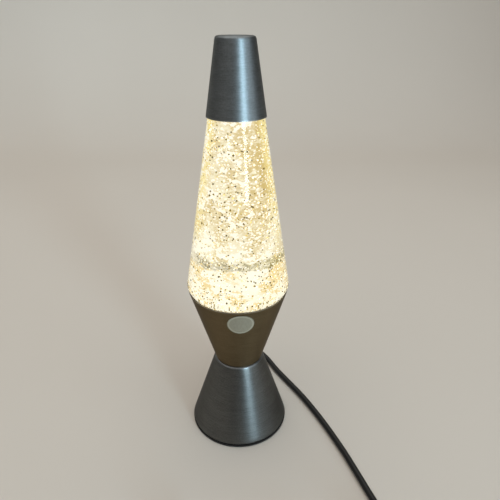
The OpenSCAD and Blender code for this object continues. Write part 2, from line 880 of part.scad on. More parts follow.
module crown_cap() {
    skirt_h = bead_h + liner_t - crown_t;
    color("#b4976a") translate([0, 0, z_mouth + liner_t - skirt_h]) {
        difference() {
            cylinder(r = crown_r, h = skirt_h + crown_t);
            translate([0, 0, -over]) cylinder(r = crown_r - crown_t, h = skirt_h + over);
        }
        ring_of(crown_flutes, crown_r) difference() {
            cylinder(r1 = flute_r, r2 = flute_top_r, h = skirt_h - flute_end);
            translate([-2 * flute_r - crown_t, -2 * flute_r, -over])
                cube([2 * flute_r, 4 * flute_r, skirt_h + 2 * over]);
        }
    }
}

module top_cap() {
    color("#4a5060") spun(cap_path, cap_t);
}

module cord_lead() {
    color("#111112") tube(smooth(lead_route, 2), cord_r, 10);
}

module cord_link() {
    color("#111112") tube(smooth(link_route, 2), cord_r, 10);
}

// Coil: in along the lower layer, up through the half turn where it reverses, out along the upper one
coil_reverse = coil_turns + coil_climb;
coil_sweep = coil_reverse + coil_top_turns;

function coil_radius(t) =
    t < coil_turns ? coil_r - coil_pitch * t
    : t < coil_reverse ? coil_inner_r - coil_pitch * min(t - coil_turns, coil_reverse - t)
    : coil_inner_r + coil_pitch * (t - coil_reverse);

function coil_height(t) = coil_z + coil_rise * min(max((t - coil_turns) / coil_climb, 0), 1);

function coil_point(t) =
    let (a = coil_start - 360 * t) [
        coil_at.x + coil_radius(t) * cos(a),
        coil_at.y + coil_radius(t) * sin(a),
        coil_height(t)
    ];

coil_turn_points = [for (k = [0 : coil_sweep * coil_steps]) coil_point(k / coil_steps)];
coil_first = coil_turn_points[0] + [cord_d, 0, 0];
coil_last = coil_point(coil_sweep) + cord_d * [cos(plug_turn), sin(plug_turn), 0];
coil_line = concat([coil_first], coil_turn_points, [coil_last]);
coil_gap = min([
    for (i = [0 : len(coil_turn_points) - 1], j = [i + coil_steps / 2 : 1 : len(coil_turn_points) - 1])
        norm(coil_turn_points[i] - coil_turn_points[j])
]) - cord_d;

module cord_coil() {
    echo("least gap between turns", coil_gap);
    echo("length of the coil", run_of(coil_line));
    color("#111112") tube(coil_line, cord_r, 6);
}

// Strap round all the turns on one side of the coil
module coil_tie() {
    outer = coil_r - coil_pitch * (coil_start - tie_turn) / 360 + cord_r + tie_slack;
    inner = coil_inner_r - cord_r - tie_slack;
    top = coil_z + coil_rise + cord_r + tie_slack;
    w = outer - inner;
    color("#1d1d1f") translate([coil_at.x, coil_at.y, 0]) rotate(tie_turn) translate([inner + w / 2, 0, 0])
        rotate([90, 0, 0]) translate([0, (top + tie_t) / 2, -tie_w / 2]) linear_extrude(height = tie_w)
        difference() {
            round_rect(w + 2 * tie_t, top + tie_t, tie_bend_r + tie_t);
            round_rect(w, top - tie_t, tie_bend_r);
        }
}

module cord_tail() {
    color("#111112") tube(smooth(concat([coil_last], tail_route), 2), cord_r, 10);
}

module on_switch() {
    translate([switch_at.x, switch_at.y, 0]) rotate(switch_turn) children();
}

// Copies at the switch's two screws
module at_switch_screws(z) {
    for (side = [-1, 1]) translate([side * switch_screw_at.x, side * switch_screw_at.y, z]) children();
}

// Half of the switch case from z up, hollow from hollow_z, with its screw bosses and cord ribs
module switch_half(z, hollow_z) {
    difference() {
        translate([0, 0, z]) linear_extrude(height = split_z)
            round_rect(switch_l, switch_w, switch_corner_r);
        translate([0, 0, hollow_z]) linear_extrude(height = split_z - switch_wall + over) round_rect(
            switch_l - 2 * switch_wall, switch_w - 2 * switch_wall, switch_corner_r - switch_wall
        );
    }
    at_switch_screws(z) cylinder(r = boss_r, h = split_z);
    for (side = [-1, 1]) translate([side * (switch_l / 2 - rib_in) - rib_t / 2, -rib_w / 2, z])
        cube([rib_t, rib_w, split_z]);
}

module switch_cord_bore() {
    translate([-switch_l, 0, split_z]) rotate([0, 90, 0]) cylinder(r = cord_r + fit_gap, h = 2 * switch_l);
}

module switch_case_bottom() {
    color("#121213") on_switch() difference() {
        switch_half(0, switch_wall);
        switch_cord_bore();
        at_switch_screws(-over) {
            cylinder(r = switch_screw_r + fit_gap, h = switch_h);
            cylinder(r = switch_head_r + fit_gap, h = switch_head_z + switch_head_h + over);
        }
    }
}

slot_l = rocker_l * cos(rocker_tilt) + 2 * rocker_rise * sin(rocker_tilt) + 2 * rocker_gap;
slot_w = rocker_w + 2 * rocker_gap;
pivot_l = rocker_w + 2 * pivot_end;

// The rocker's pivot turns in cheeks on both sides of its slot
module switch_case_top() {
    cheek_z = pivot_z - 2 * pivot_r;
    color("#121213") on_switch() difference() {
        union() {
            switch_half(split_z, split_z - over);
            for (side = [-1, 1])
                translate([-cheek_l / 2, (side * (slot_w + cheek_t) - cheek_t) / 2, cheek_z])
                cube([cheek_l, cheek_t, switch_h - switch_wall / 2 - cheek_z]);
        }
        switch_cord_bore();
        translate([-slot_l / 2, -slot_w / 2, split_z]) cube([slot_l, slot_w, switch_h]);
        translate([0, 0, pivot_z]) rotate([90, 0, 0])
            cylinder(r = pivot_r + fit_gap, h = pivot_l + rocker_gap, center = true);
        at_switch_screws(split_z - over)
            cylinder(r = switch_screw_r + fit_gap / 2, h = split_z - boss_roof - over);
    }
}

module switch_rocker() {
    half = rocker_l / 2;
    section = [
        [-half, -rocker_side, rocker_heel_r], [0, -rocker_keel, rocker_keel_r],
        [half, -rocker_side, rocker_heel_r], [half, rocker_rise, rocker_edge_r],
        [0, rocker_rise - rocker_dish, rocker_dish_r], [-half, rocker_rise, rocker_edge_r]
    ];
    loop = concat(section, [section[0], section[1]]);
    outline = [for (i = [1 : len(section)]) each corner(loop[i - 1], loop[i], loop[i + 1], loop[i][2])];
    color("#1a1a1b") on_switch() translate([0, 0, pivot_z]) rotate([90, -rocker_tilt, 0]) {
        linear_extrude(height = rocker_w, center = true) polygon(outline);
        cylinder(r = pivot_r, h = pivot_l, center = true);
    }
}

module switch_contacts() {
    color("#c9a24a") on_switch() for (side = [-1, 1]) {
        translate([side * contact_block_x - contact_block.x / 2, -contact_block.y / 2, switch_wall])
            cube(contact_block);
        translate([side * contact_strip_x - contact_strip.x / 2, -contact_strip.y / 2, switch_wall])
            cube(contact_strip);
    }
}

module switch_screws() {
    color("#b9bcc0") on_switch() at_switch_screws(switch_head_z) difference() {
        union() {
            cylinder(r = switch_head_r, h = switch_head_h);
            cylinder(r = switch_screw_r, h = switch_h - 2 * boss_roof - over);
        }
        driver_slot();
    }
}

module on_plug() {
    translate([plug_at.x, plug_at.y, plug_t / 2]) rotate(plug_turn) children();
}

module plug_pin_lines(r, from_x, to_x) {
    for (side = [-1, 1]) translate([from_x, side * pin_gap / 2, 0])
        rotate([0, 90, 0]) cylinder(r = r, h = to_x - from_x);
}

// Moulded body, its tapered cord sleeve and the insulating sleeves on the pins' roots
module plug_body() {
    flare_x = sleeve_l + plug_flare;
    outline = [
        [sleeve_l - plug_lap, -plug_waist], [flare_x, -plug_w / 2, plug_bend_rs[0]],
        [plug_face, -plug_w / 2, plug_bend_rs[1]], [plug_face, plug_w / 2, plug_bend_rs[1]],
        [flare_x, plug_w / 2, plug_bend_rs[0]], [sleeve_l - plug_lap, plug_waist]
    ];
    color("#131314") on_plug() difference() {
        union() {
            rotate([0, 90, 0])
                cylinder(r1 = cord_r + sleeve_walls[0], r2 = cord_r + sleeve_walls[1], h = sleeve_l);
            translate([0, 0, -plug_t / 2]) linear_extrude(height = plug_t) polygon(rounded(outline));
            plug_pin_lines(pin_d / 2, plug_face - over, plug_face + pin_l - pin_bare);
        }
        plug_pin_lines(pin_core_r + fit_gap / 2, plug_face - pin_root, plug_face + pin_l);
    }
}

module plug_pins() {
    sleeve_end = plug_face + pin_l - pin_bare;
    color("#c3c5c8") on_plug() {
        plug_pin_lines(pin_core_r, plug_face - pin_root, sleeve_end + over);
        plug_pin_lines(pin_d / 2, sleeve_end, plug_face + pin_l);
    }
}

foot_ring();
base_plate();
base_plate_screws();
lip_nuts();
base_cone();
cord_gland();
inner_leads();
lamp_socket();
socket_ring_nut();
socket_shell();
socket_contact();
socket_terminals();
terminal_screws();
globe_cup();
label_disc();
bulb_contact();
bulb_insulator();
bulb_screw_cap();
bulb_glass();
bulb_stem();
bulb_filament();
glass_globe();
globe_liquid();
glitter_flakes();
crown_liner();
crown_cap();
top_cap();
cord_lead();
switch_case_bottom();
switch_case_top();
switch_rocker();
switch_contacts();
switch_screws();
cord_link();
cord_coil();
coil_tie();
cord_tail();
plug_body();
plug_pins();
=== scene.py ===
import math
import random

import bmesh
import bpy
from mathutils import Matrix, Vector


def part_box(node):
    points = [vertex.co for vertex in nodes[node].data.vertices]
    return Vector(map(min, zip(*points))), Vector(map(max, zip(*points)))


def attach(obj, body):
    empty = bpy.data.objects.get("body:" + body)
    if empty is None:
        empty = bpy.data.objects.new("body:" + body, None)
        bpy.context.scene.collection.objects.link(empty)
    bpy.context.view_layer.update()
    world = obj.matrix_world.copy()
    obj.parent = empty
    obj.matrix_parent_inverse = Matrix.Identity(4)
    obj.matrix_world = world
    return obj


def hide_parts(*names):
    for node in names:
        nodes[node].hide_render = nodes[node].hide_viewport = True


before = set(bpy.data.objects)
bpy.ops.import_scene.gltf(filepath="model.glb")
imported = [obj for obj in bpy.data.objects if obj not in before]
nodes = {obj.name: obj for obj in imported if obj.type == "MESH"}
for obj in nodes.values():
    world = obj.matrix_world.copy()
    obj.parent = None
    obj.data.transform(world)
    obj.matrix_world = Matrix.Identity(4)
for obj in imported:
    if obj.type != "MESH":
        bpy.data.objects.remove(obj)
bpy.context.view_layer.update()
mm = 0.001


# Camera: a moderate wide lens, held a little higher than the lamp and tilted down at it.
# Its place and lens are fitted to the photograph's rim, waist and foot circles.
camera_place = (0, -384.6 * mm, 382.4 * mm)
camera_lens = 34.52
camera_down = math.radians(26.275)
camera_right = math.radians(1.628)
camera_roll = math.radians(0.086)
bpy.ops.object.select_all(action="DESELECT")
bpy.ops.object.camera_add(location=camera_place, rotation=(math.pi / 2 - camera_down, 0, -camera_right))
camera = bpy.context.object
camera.rotation_euler.rotate_axis("Z", camera_roll)
camera.data.sensor_width = 36
camera.data.lens = camera_lens
camera.data.clip_start = 10 * mm
bpy.context.scene.camera = camera


# Foot ring: black rubber, pressed from sheet and glued under the base plate.
# It is the CAD ring, with a fine matt grain and paler scuffs where it rubs on tables.
class Wire:
    """An output in a material's node tree; arithmetic on wires adds Math nodes."""

    def __init__(self, tree, socket=None):
        self.tree = tree
        self.socket = socket

    def node(self, kind, settings, sockets, out=0):
        """Adds a node with these settings, and constants or wires on its sockets."""
        made = self.tree.nodes.new("ShaderNode" + kind)
        for name, value in settings.items():
            if name == "stops":
                fill_ramp(made.color_ramp, value)
            else:
                setattr(made, name, value)
        for name, value in sockets.items():
            if isinstance(value, Wire):
                self.tree.links.new(value.socket, made.inputs[name])
            else:
                made.inputs[name].default_value = value
        return Wire(self.tree, made.outputs[out])

    def math(self, operation, a, b):
        return self.node("Math", {"operation": operation}, {0: a, 1: b})

    def __add__(self, other):
        return self.math("ADD", self, other)

    def __radd__(self, other):
        return self.math("ADD", other, self)

    def __sub__(self, other):
        return self.math("SUBTRACT", self, other)

    def __rsub__(self, other):
        return self.math("SUBTRACT", other, self)

    def __mul__(self, other):
        return self.math("MULTIPLY", self, other)

    def __rmul__(self, other):
        return self.math("MULTIPLY", other, self)

    def __truediv__(self, other):
        return self.math("DIVIDE", self, other)

    def step(self, low, high):
        """Smooth rise from 0 at low to 1 at high."""
        sockets = {"Value": self, "From Min": low, "From Max": high}
        return self.node("MapRange", {"interpolation_type": "SMOOTHSTEP"}, sockets)

    def blend(self, low, high):
        """Colour from low to high, as this wire goes from 0 to 1."""
        return self.node("Mix", {"data_type": "RGBA"}, {0: self, 6: low, 7: high}, 2)


def fill_ramp(ramp, stops):
    """Gives a colour ramp its stops, each a place from 0 to 1 and a colour."""
    while len(ramp.elements) < len(stops):
        ramp.elements.new(1)
    for element, (place, colour) in zip(ramp.elements, stops):
        element.position = place
        element.color = colour


def tone(code):
    """Linear colour of a six-digit screen colour."""
    parts = [int(code[i:i + 2], 16) / 255 for i in (0, 2, 4)]
    return [c / 12.92 if c < 0.04045 else ((c + 0.055) / 1.055) ** 2.4 for c in parts] + [1]


class Finish:
    """A material with one Principled shader: constants on its sockets, and wires into them."""

    def __init__(self, name, **constants):
        self.material = bpy.data.materials.new(name)
        self.material.use_nodes = True
        self.tree = self.material.node_tree
        self.shader = self.tree.nodes["Principled BSDF"]
        self.wire = Wire(self.tree)
        for socket, value in constants.items():
            self.shader.inputs[socket.replace("_", " ")].default_value = value

    def feed(self, **wires):
        """Joins wires to the shader's sockets."""
        for socket, wire in wires.items():
            self.tree.links.new(wire.socket, self.shader.inputs[socket.replace("_", " ")])

    def spot(self):
        """Place on the piece, in metres."""
        return self.wire.node("TexCoord", {}, {}, "Object")

    def axes(self):
        """Place on the piece along X, Y and Z."""
        spot = self.spot()
        return [self.wire.node("SeparateXYZ", {}, {0: spot}, axis) for axis in ("X", "Y", "Z")]

    def away_from(self, point):
        """Distance from a point."""
        sockets = {0: self.spot(), 1: point}
        return self.wire.node("VectorMath", {"operation": "DISTANCE"}, sockets, "Value")

    def stretched(self, stretch):
        """Place on the piece, multiplied along each axis."""
        return self.wire.node("Mapping", {"vector_type": "POINT"}, {"Vector": self.spot(), "Scale": stretch})

    def noise(self, size, detail=2, stretch=(1, 1, 1), rough=0.5):
        """Soft noise whose features are about this size."""
        sockets = {"Vector": self.stretched(stretch), "Scale": 1 / size, "Detail": detail, "Roughness": rough}
        return self.wire.node("TexNoise", {}, sockets)

    def tint(self, colour, density):
        """Colour that light takes on as it goes through the piece."""
        inside = self.wire.node("VolumeAbsorption", {}, {"Color": colour, "Density": density})
        self.tree.links.new(inside.socket, self.tree.nodes["Material Output"].inputs["Volume"])

    def bump(self, height, depth, strength):
        """Fine relief on the surface, this deep."""
        sockets = {"Strength": strength, "Distance": depth, "Height": height}
        self.feed(Normal=self.wire.node("Bump", {}, sockets))


def put_on(piece, finish):
    """Gives a piece one finish all over."""
    piece.data.materials.clear()
    piece.data.materials.append(finish.material)


def moulded(name, colour, worn, roughness, grain):
    """Moulded or pressed goods: fine grain, faint mottling and paler scuffs."""
    finish = Finish(name, Specular_IOR_Level=0.4)
    mottle = finish.noise(14 * mm, detail=3)
    scuff = finish.noise(3 * mm, detail=5, stretch=(1, 1, 2.5), rough=0.7).step(0.58, 0.75)
    pits = finish.noise(grain)
    finish.feed(Base_Color=(scuff * 0.5 + mottle * 0.3).blend(tone(colour), tone(worn)))
    finish.feed(Roughness=roughness + 0.12 * mottle - 0.1 * scuff)
    finish.bump(pits, depth=0.06 * mm, strength=0.5)
    return finish


foot_rubber = moulded("foot_rubber", "121212", "2a2927", roughness=0.72, grain=0.5 * mm)
put_on(nodes["foot_ring"], foot_rubber)


# Base plate: black plastic, injection moulded with a ring of vent slots, closing the base from below.
# Three screws go up through it and the base cone's lip into clip nuts.
black_plastic = moulded("black_plastic", "0d0d0e", "242426", roughness=0.42, grain=0.35 * mm)
put_on(nodes["base_plate"], black_plastic)


def small_metal(name, dark, light, roughness):
    """Plated or drawn small metal parts: soft cloudiness, hairline scratches and dull spots."""
    finish = Finish(name, Metallic=1.0)
    cloud = finish.noise(4 * mm, detail=3)
    hair = finish.noise(0.5 * mm, detail=3, stretch=(1, 1, 0.15), rough=0.6)
    finish.feed(Base_Color=(0.6 * cloud + 0.4 * hair).blend(tone(dark), tone(light)))
    finish.feed(Roughness=roughness + 0.2 * (cloud - 0.5) + 0.1 * hair)
    finish.bump(hair, depth=0.02 * mm, strength=0.3)
    return finish


screw_steel = small_metal("screw_steel", "8d9094", "c9ccd0", roughness=0.3)
for name in ("base_plate_screws", "lip_nuts", "terminal_screws", "switch_screws"):
    put_on(nodes[name], screw_steel)


# Base cone: spun from aluminium sheet over a former, with a lip turned in below and a flange above.
# Its brushed metal is a dark pewter grey, partly a painted reflection of a dim room,
# with fine rings left by the spinning tool.
# The cord's gland and the plate's screws go through it.
def rounded(path, steps=7):
    """Outline of (radius, height) points; a third number is the radius of the bend there."""
    points = []
    for i, corner in enumerate(path):
        p = Vector(corner[:2])
        if len(corner) < 3:
            points.append(tuple(p))
            continue
        to_last = Vector(path[i - 1][:2]) - p
        to_next = Vector(path[i + 1][:2]) - p
        room = 0.48 * min(to_last.length, to_next.length)
        to_last.normalize()
        to_next.normalize()
        half = to_last.angle(to_next) / 2
        reach = min(corner[2] / math.tan(half), room)
        middle = p + (to_last + to_next).normalized() * (reach / math.cos(half))
        start = p + to_last * reach - middle
        end = p + to_next * reach - middle
        sweep = start.angle_signed(end)
        for k in range(steps + 1):
            turn = Matrix.Rotation(-sweep * k / steps, 2)
            points.append(tuple(middle + turn @ start))
    return points


def stepped(outline, longest):
    """The same outline with no stretch longer than this."""
    points = [outline[0]]
    for (r0, z0), (r1, z1) in zip(outline, outline[1:]):
        parts = max(1, math.ceil(math.hypot(r1 - r0, z1 - z0) / longest))
        points += [(r0 + (r1 - r0) * k / parts, z0 + (z1 - z0) * k / parts) for k in range(1, parts + 1)]
    return points


pole = 0.01 * mm


def turned(name, outline, sides=192):
    """Sheet turned round the lamp's axis: a circle, extruded and resized along an outline that runs
    upwards on the outside. Rings as small as the pole are closed."""
    bpy.ops.object.select_all(action="DESELECT")
    r = max(outline[0][0], pole)
    z = outline[0][1]
    bpy.ops.mesh.primitive_circle_add(vertices=sides, radius=r, location=(0, 0, z))
    piece = bpy.context.object
    piece.name = piece.data.name = name
    bpy.ops.object.transform_apply(location=True)
    bpy.ops.object.mode_set(mode="EDIT")
    bpy.ops.mesh.select_all(action="SELECT")
    for next_r, next_z in outline[1:]:
        grow = max(next_r, pole) / r
        bpy.ops.mesh.extrude_edges_move(TRANSFORM_OT_translate={"value": (0, 0, next_z - z)})
        bpy.ops.transform.resize(value=(grow, grow, 1), center_override=(0, 0, next_z))
        r = r * grow
        z = next_z
    bpy.ops.mesh.select_all(action="SELECT")
    bpy.ops.mesh.remove_doubles(threshold=2.5 * pole)
    bpy.ops.object.mode_set(mode="OBJECT")
    widest = max(piece.data.polygons, key=lambda f: Vector(f.center[:2]).length)
    if Vector(widest.normal[:2]).dot(Vector(widest.center[:2])) < 0:
        bpy.ops.object.mode_set(mode="EDIT")
        bpy.ops.mesh.flip_normals()
        bpy.ops.object.mode_set(mode="OBJECT")
    return piece


def choose(piece):
    """Makes a piece the only selected one, and the active one."""
    bpy.ops.object.select_all(action="DESELECT")
    piece.select_set(True)
    bpy.context.view_layer.objects.active = piece


def apply(piece, kind, **settings):
    """Adds a modifier to a piece and applies it."""
    choose(piece)
    modifier = piece.modifiers.new(kind, kind)
    for key, value in settings.items():
        setattr(modifier, key, value)
    bpy.ops.object.modifier_apply(modifier=modifier.name)


def cut(piece, tool):
    """Takes a tool's shape out of a piece and puts the tool away."""
    apply(piece, "BOOLEAN", operation="DIFFERENCE", object=tool, solver="EXACT")
    bpy.data.objects.remove(tool)


def smooth(piece):
    """Shades a piece smooth, and keeps its sharper edges."""
    choose(piece)
    bpy.ops.object.shade_smooth_by_angle(angle=math.radians(35))


def spun(name, outline, wall):
    """Spun sheet: the outline is its outer face, and its wall lies inside that."""
    piece = turned(name, stepped(rounded(outline), 4 * mm))
    apply(piece, "SOLIDIFY", thickness=wall, offset=-1, use_even_offset=True)
    smooth(piece)
    return piece


def spun_metal(name, dark, light, roughness, edge_z):
    """Brushed metal off the spinning lathe: rings round the axis, in fine lines and broader bands, with
    a grain between them. A band at one height is brighter: rubbed wear on a lifted edge, and at the
    base's waist a painted highlight."""
    finish = Finish(
        name, Metallic=1.0, Anisotropic=0.45, Anisotropic_Rotation=0.25, Specular_Tint=(0.5, 0.5, 0.5, 1)
    )
    x, y, z = finish.axes()
    radius = finish.wire.node("Math", {"operation": "SQRT"}, {0: x * x + y * y})
    slant = 0.43
    along = z + slant * radius

    def rings(size, drift):
        """Noise in rings about this far apart, which drifts on the way round."""
        sockets = {0: along / size, 1: x / radius * drift, 2: y / radius * drift}
        where = finish.wire.node("CombineXYZ", {}, sockets)
        return finish.wire.node("TexNoise", {}, {"Vector": where, "Scale": 1.0, "Detail": 2.0})

    fine = rings(0.7 * mm, drift=3)
    bands = rings(4 * mm, drift=1.2)
    grain = finish.noise(1.1 * mm)
    shade = (0.4 * fine + 0.2 * bands + 0.4 * grain).step(0.22, 0.78)
    off_edge = (z - edge_z) * (z - edge_z)
    # Brighter band at edge_z: rubbed wear, and at the base's waist a painted highlight.
    rubbed_and_highlit = (1 - off_edge.step(0.2 * mm * mm, 1.6 * mm * mm)) * (0.1 + 0.35 * grain)
    finish.feed(Base_Color=rubbed_and_highlit.blend(shade.blend(tone(dark), tone(light)), tone("b4b8bb")))
    uneven = 0.1 * (fine - 0.5) + 0.05 * (bands - 0.5) + 0.12 * (grain - 0.5)
    finish.feed(Roughness=roughness + uneven - 0.1 * rubbed_and_highlit)
    finish.bump(fine + grain, depth=0.01 * mm, strength=0.3)
    return finish


sheet_t = 1.2 * mm
waist_r = 23.6 * mm
waist_bend = 2 * mm
flange_r = 14.25 * mm
lip_w = 12 * mm
lip_bend = 1.3 * mm
base_low, base_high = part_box("base_cone")
base_r = base_high[0]
z_base = base_low[2]
z_waist = base_high[2]
base_outline = [
    (base_r - lip_w, z_base), (base_r, z_base, lip_bend),
    (waist_r, z_waist, waist_bend), (flange_r, z_waist),
]
base_cone = spun("base_cone_spun", base_outline, sheet_t)
cord_exit = Vector((-21, 65, 13)) * mm
outward = Vector((cord_exit.x, cord_exit.y, 0)).normalized()
gland_r = 4.9 * mm
gland_drill = 30 * mm
gland_drill_at = outward * 45 * mm + Vector((0, 0, cord_exit.z))
bpy.ops.object.select_all(action="DESELECT")
bpy.ops.mesh.primitive_cylinder_add(
    vertices=48, radius=gland_r, depth=gland_drill, location=gland_drill_at,
    rotation=(math.pi / 2, 0, math.atan2(outward.y, outward.x) + math.pi / 2),
)
cut(base_cone, bpy.context.object)
screw_hole_r = 1.7 * mm
screw_inset = 1.5 * mm
screw_drill = 8 * mm
screw_ring_r = base_r - lip_w / 2 - screw_inset
for turn in (30, 150, 270):
    hole = Vector((math.cos(math.radians(turn)), math.sin(math.radians(turn)), 0)) * screw_ring_r
    hole.z = z_base
    bpy.ops.object.select_all(action="DESELECT")
    bpy.ops.mesh.primitive_cylinder_add(vertices=24, radius=screw_hole_r, depth=screw_drill, location=hole)
    cut(base_cone, bpy.context.object)
smooth(base_cone)
# The bright band just under the waist is a painted highlight, where the top bend catches the window.
waist_highlight_z = z_waist - 0.5 * mm
# The base's dark grey is partly a painted reflection of a dim room, darker than bare aluminium.
put_on(base_cone, spun_metal("spun_base", "535352", "717270", roughness=0.38, edge_z=waist_highlight_z))
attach(base_cone, "base")
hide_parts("base_cone")


# Cord gland and cord: a black two-core round cord of soft plastic, 6 mm thick, in a tapered moulded gland.
# It comes out of the back of the base, lies round to the front on the table, runs through its switch,
# and the spare length is wound into a coil of two layers before the plug. Routes are in millimetres.
put_on(nodes["cord_gland"], black_plastic)
cord_d = 6 * mm
lead_route = [
    tuple(cord_exit / mm), (-23, 72, 12.4), (-23, 80, 10.5), (-19.5, 88, 8), (-13, 95.5, 5.5),
    (-4, 100.5, 3.8), (6, 102.5, 3.05), (16, 101, 3), (25, 96, 3), (32, 87, 3), (45.5, 60, 3),
    (58.5, 37, 3), (70, 16, 3),
    (80, -5.5, 3), (88.5, -26, 3), (95.5, -45, 3), (101, -61, 3), (105.5, -76, 3), (109.3, -89, 3),
    (112.6, -100.5, 3), (115.3, -109.5, 3.05), (118.3, -121, 4), (120.5, -131.5, 6.5), (121.5, -142, 8.5),
    (121.5, -150, 8.5),
]
through_switch = [(121.5, -161, 6.6), (121.5, -173, 5.6), (121.5, -185, 6.6)]
link_route = [
    (121.5, -196, 8.5), (121.5, -204, 8.5), (121.2, -212, 8.1), (118.7, -222, 7), (113.2, -230.8, 5.8),
    (105, -236.2, 4.8), (95.5, -237.75, 4.2), (82, -237.95, 4.05), (72, -237.9, 4.05),
]
tail_route = [(15, -208.5, 10.5), (5, -198.5, 9.4), (-5, -188.5, 7.6), (-9, -184.5, 7), (-13, -180.5, 7)]
coil_at = (60, -192)
coil_r = 46
coil_pitch = 6.7
coil_turns = 3
coil_climb = 0.5
coil_top_turns = 2.625
coil_steps = 24
coil_z = 4.05
coil_rise = 6.5


def coil_point(t):
    """Point on the coil after t turns: in along the lower layer, up, and out along the upper one."""
    inner = coil_r - coil_pitch * coil_turns
    climbed = min(max((t - coil_turns) / coil_climb, 0), 1)
    if t < coil_turns:
        r = coil_r - coil_pitch * t
    elif t < coil_turns + coil_climb:
        r = inner - coil_pitch * min(t - coil_turns, coil_turns + coil_climb - t)
    else:
        r = inner + coil_pitch * (t - coil_turns - coil_climb)
    a = math.radians(270 - 360 * t)
    return (coil_at[0] + r * math.cos(a), coil_at[1] + r * math.sin(a), coil_z + coil_rise * climbed)


coil_sweep = coil_turns + coil_climb + coil_top_turns
coil_route = [coil_point(k / coil_steps) for k in range(int(coil_sweep * coil_steps) + 1)]
route = lead_route + through_switch + link_route + coil_route + tail_route


def laid(name, points, r):
    """Round cord or wire of this radius on one smooth curve through its points."""
    bpy.ops.object.select_all(action="DESELECT")
    bpy.ops.curve.primitive_bezier_curve_add(location=(0, 0, 0))
    piece = bpy.context.object
    piece.name = piece.data.name = name
    piece.data.dimensions = "3D"
    piece.data.splines.clear()
    line = piece.data.splines.new("BEZIER")
    line.bezier_points.add(len(points) - 1)
    for knot, point in zip(line.bezier_points, points):
        knot.co = point
        knot.handle_left_type = knot.handle_right_type = "AUTO"
    line.resolution_u = 4
    piece.data.bevel_depth = r
    piece.data.bevel_resolution = 4
    piece.data.use_fill_caps = True
    return piece


cord = laid("power_cord", [Vector(point) * mm for point in route], cord_d / 2)
cord_pvc = moulded("cord_pvc", "0c0c0d", "1f1f20", roughness=0.38, grain=0.9 * mm)
put_on(cord, cord_pvc)
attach(cord, "base")
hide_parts("cord_lead", "cord_link", "cord_coil", "cord_tail")


# Tie: a soft black strap of hook-and-loop tape, wrapped once round all the turns on one side of the coil.
# Its end laps over its start on top, where the two faces grip.
def pick(piece, wanted):
    """Selects the points of a piece that pass a test, in edit mode."""
    bpy.ops.object.mode_set(mode="EDIT")
    bpy.ops.mesh.select_mode(type="VERT")
    bpy.ops.mesh.select_all(action="DESELECT")
    bpy.ops.object.mode_set(mode="OBJECT")
    for v in piece.data.vertices:
        v.select = wanted(v.co)
    bpy.ops.object.mode_set(mode="EDIT")


tie_w = 6 * mm
tie_t = 0.8 * mm
tie_turn = math.radians(30)
tie_bend = 3.4 * mm
tie_in = 22.1 * mm
tie_out = 45.33 * mm
tie_low = tie_t / 2
tie_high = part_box("coil_tie")[1][2] - tie_t / 2
tie_mid = (tie_in + tie_out) / 2
tie_start = tie_mid - 8 * mm
tie_end = tie_mid + 9 * mm
lap_foot = tie_mid - 10.5 * mm
lap_bend = 2 * mm
lap_z = tie_high + 0.95 * mm
strap_line = stepped(rounded([
    (tie_start, tie_high), (tie_out, tie_high, tie_bend), (tie_out, tie_low, tie_bend),
    (tie_in, tie_low, tie_bend), (tie_in, tie_high, tie_bend), (lap_foot, tie_high, lap_bend),
    (tie_start, lap_z, lap_bend), (tie_end, lap_z),
]), 2 * mm)
first_l = strap_line[1][0] - strap_line[0][0]
first_mid = strap_line[0][0] + first_l / 2
bpy.ops.object.select_all(action="DESELECT")
bpy.ops.mesh.primitive_plane_add(size=1, location=(first_mid, 0, tie_high))
tie = bpy.context.object
tie.name = tie.data.name = "coil_tie_strap"
tie.scale = (first_l, tie_w, 1)
bpy.ops.object.transform_apply(location=True, scale=True)
pick(tie, lambda p: p.x > first_mid)
for (r0, z0), (r1, z1) in zip(strap_line[1:], strap_line[2:]):
    bpy.ops.mesh.extrude_edges_move(TRANSFORM_OT_translate={"value": (r1 - r0, 0, z1 - z0)})
bpy.ops.object.mode_set(mode="OBJECT")
tie.rotation_euler = (0, 0, tie_turn)
tie.location = (coil_at[0] * mm, coil_at[1] * mm, 0)
bpy.ops.object.transform_apply(location=True, rotation=True)
apply(tie, "SOLIDIFY", thickness=tie_t, offset=0, use_even_offset=True)
apply(tie, "BEVEL", width=0.2 * mm, segments=2, limit_method="ANGLE", angle_limit=math.radians(60))
smooth(tie)
strap = Finish("tie_strap", Specular_IOR_Level=0.2, Sheen_Weight=0.25)
loops = strap.noise(0.45 * mm, detail=3, rough=0.7)
fade = strap.noise(6 * mm)
strap.feed(Base_Color=(0.7 * loops + 0.3 * fade).blend(tone("0c0c0d"), tone("38383c")))
strap.feed(Roughness=0.72 + 0.25 * loops)
strap.bump(loops, depth=0.2 * mm, strength=0.8)
put_on(tie, strap)
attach(tie, "base")
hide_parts("coil_tie")


